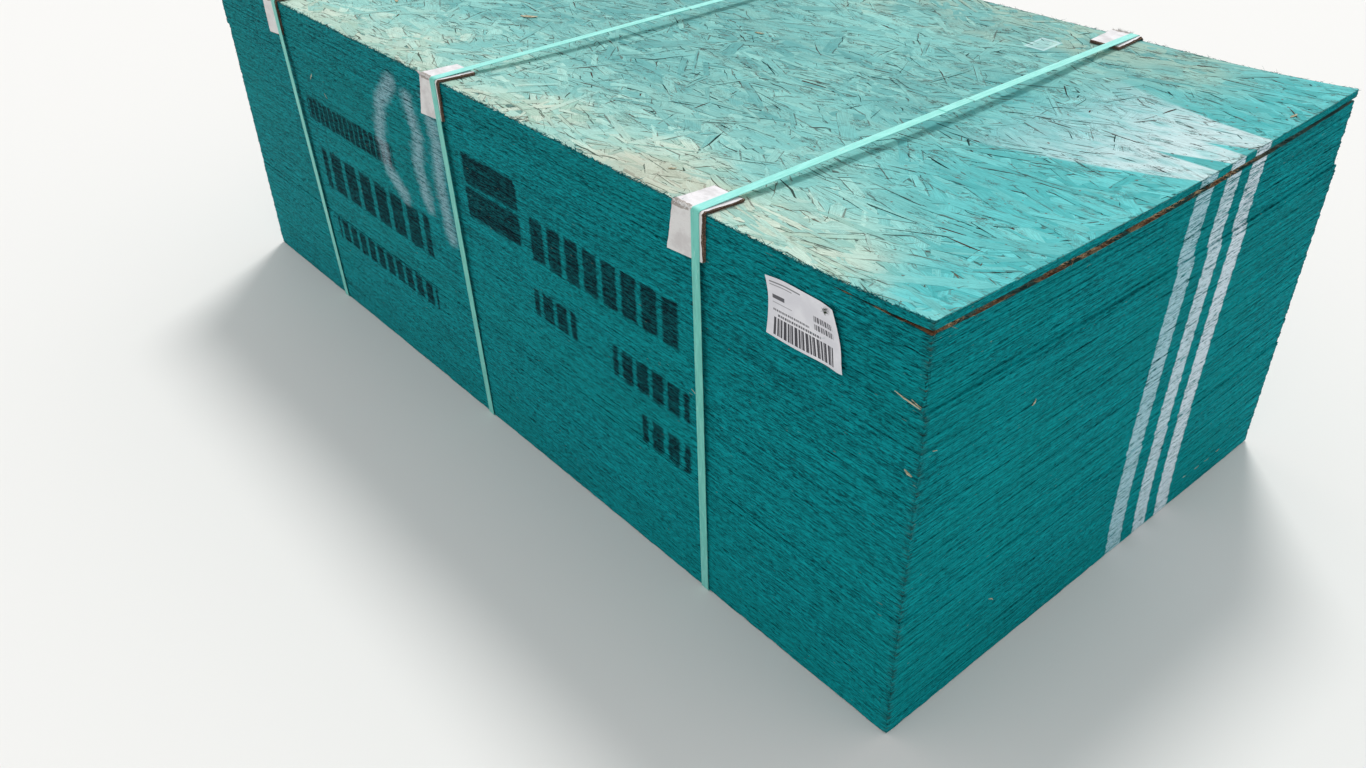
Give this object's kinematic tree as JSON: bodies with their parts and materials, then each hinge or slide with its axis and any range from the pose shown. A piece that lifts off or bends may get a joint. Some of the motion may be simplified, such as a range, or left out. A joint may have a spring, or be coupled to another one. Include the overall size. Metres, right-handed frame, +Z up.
{
  "type": "strapped stack of osb panels",
  "caption": "Strapped stack of oriented strand board sheets with painted edges, folded paperboard edge protectors under the plastic straps and a paper label on the long side.",
  "frame": {"origin": "on the ground under the middle of the stack", "axes": "+Z up, +X along the sheets, -Y towards the long side that carries the label"},
  "size_m": [2.4467, 1.236, 0.8193],
  "materials": {
    "board": "sprayed edge paint and weathered strands",
    "strap": "embossed polyester band",
    "protector": "white face on brown plies",
    "label": "matt"
  },
  "bodies": {
    "root": {"lower_panels": "board", "middle_panels": "board", "upper_panels": "board", "top_panel": "board", "strap_left": "strap", "strap_middle": "strap", "strap_right": "strap", "protector_front_left": "protector", "protector_front_middle": "protector", "protector_front_right": "protector", "protector_back_left": "protector", "protector_back_middle": "protector", "protector_back_right": "protector", "label": "label"}
  },
  "joints": []
}
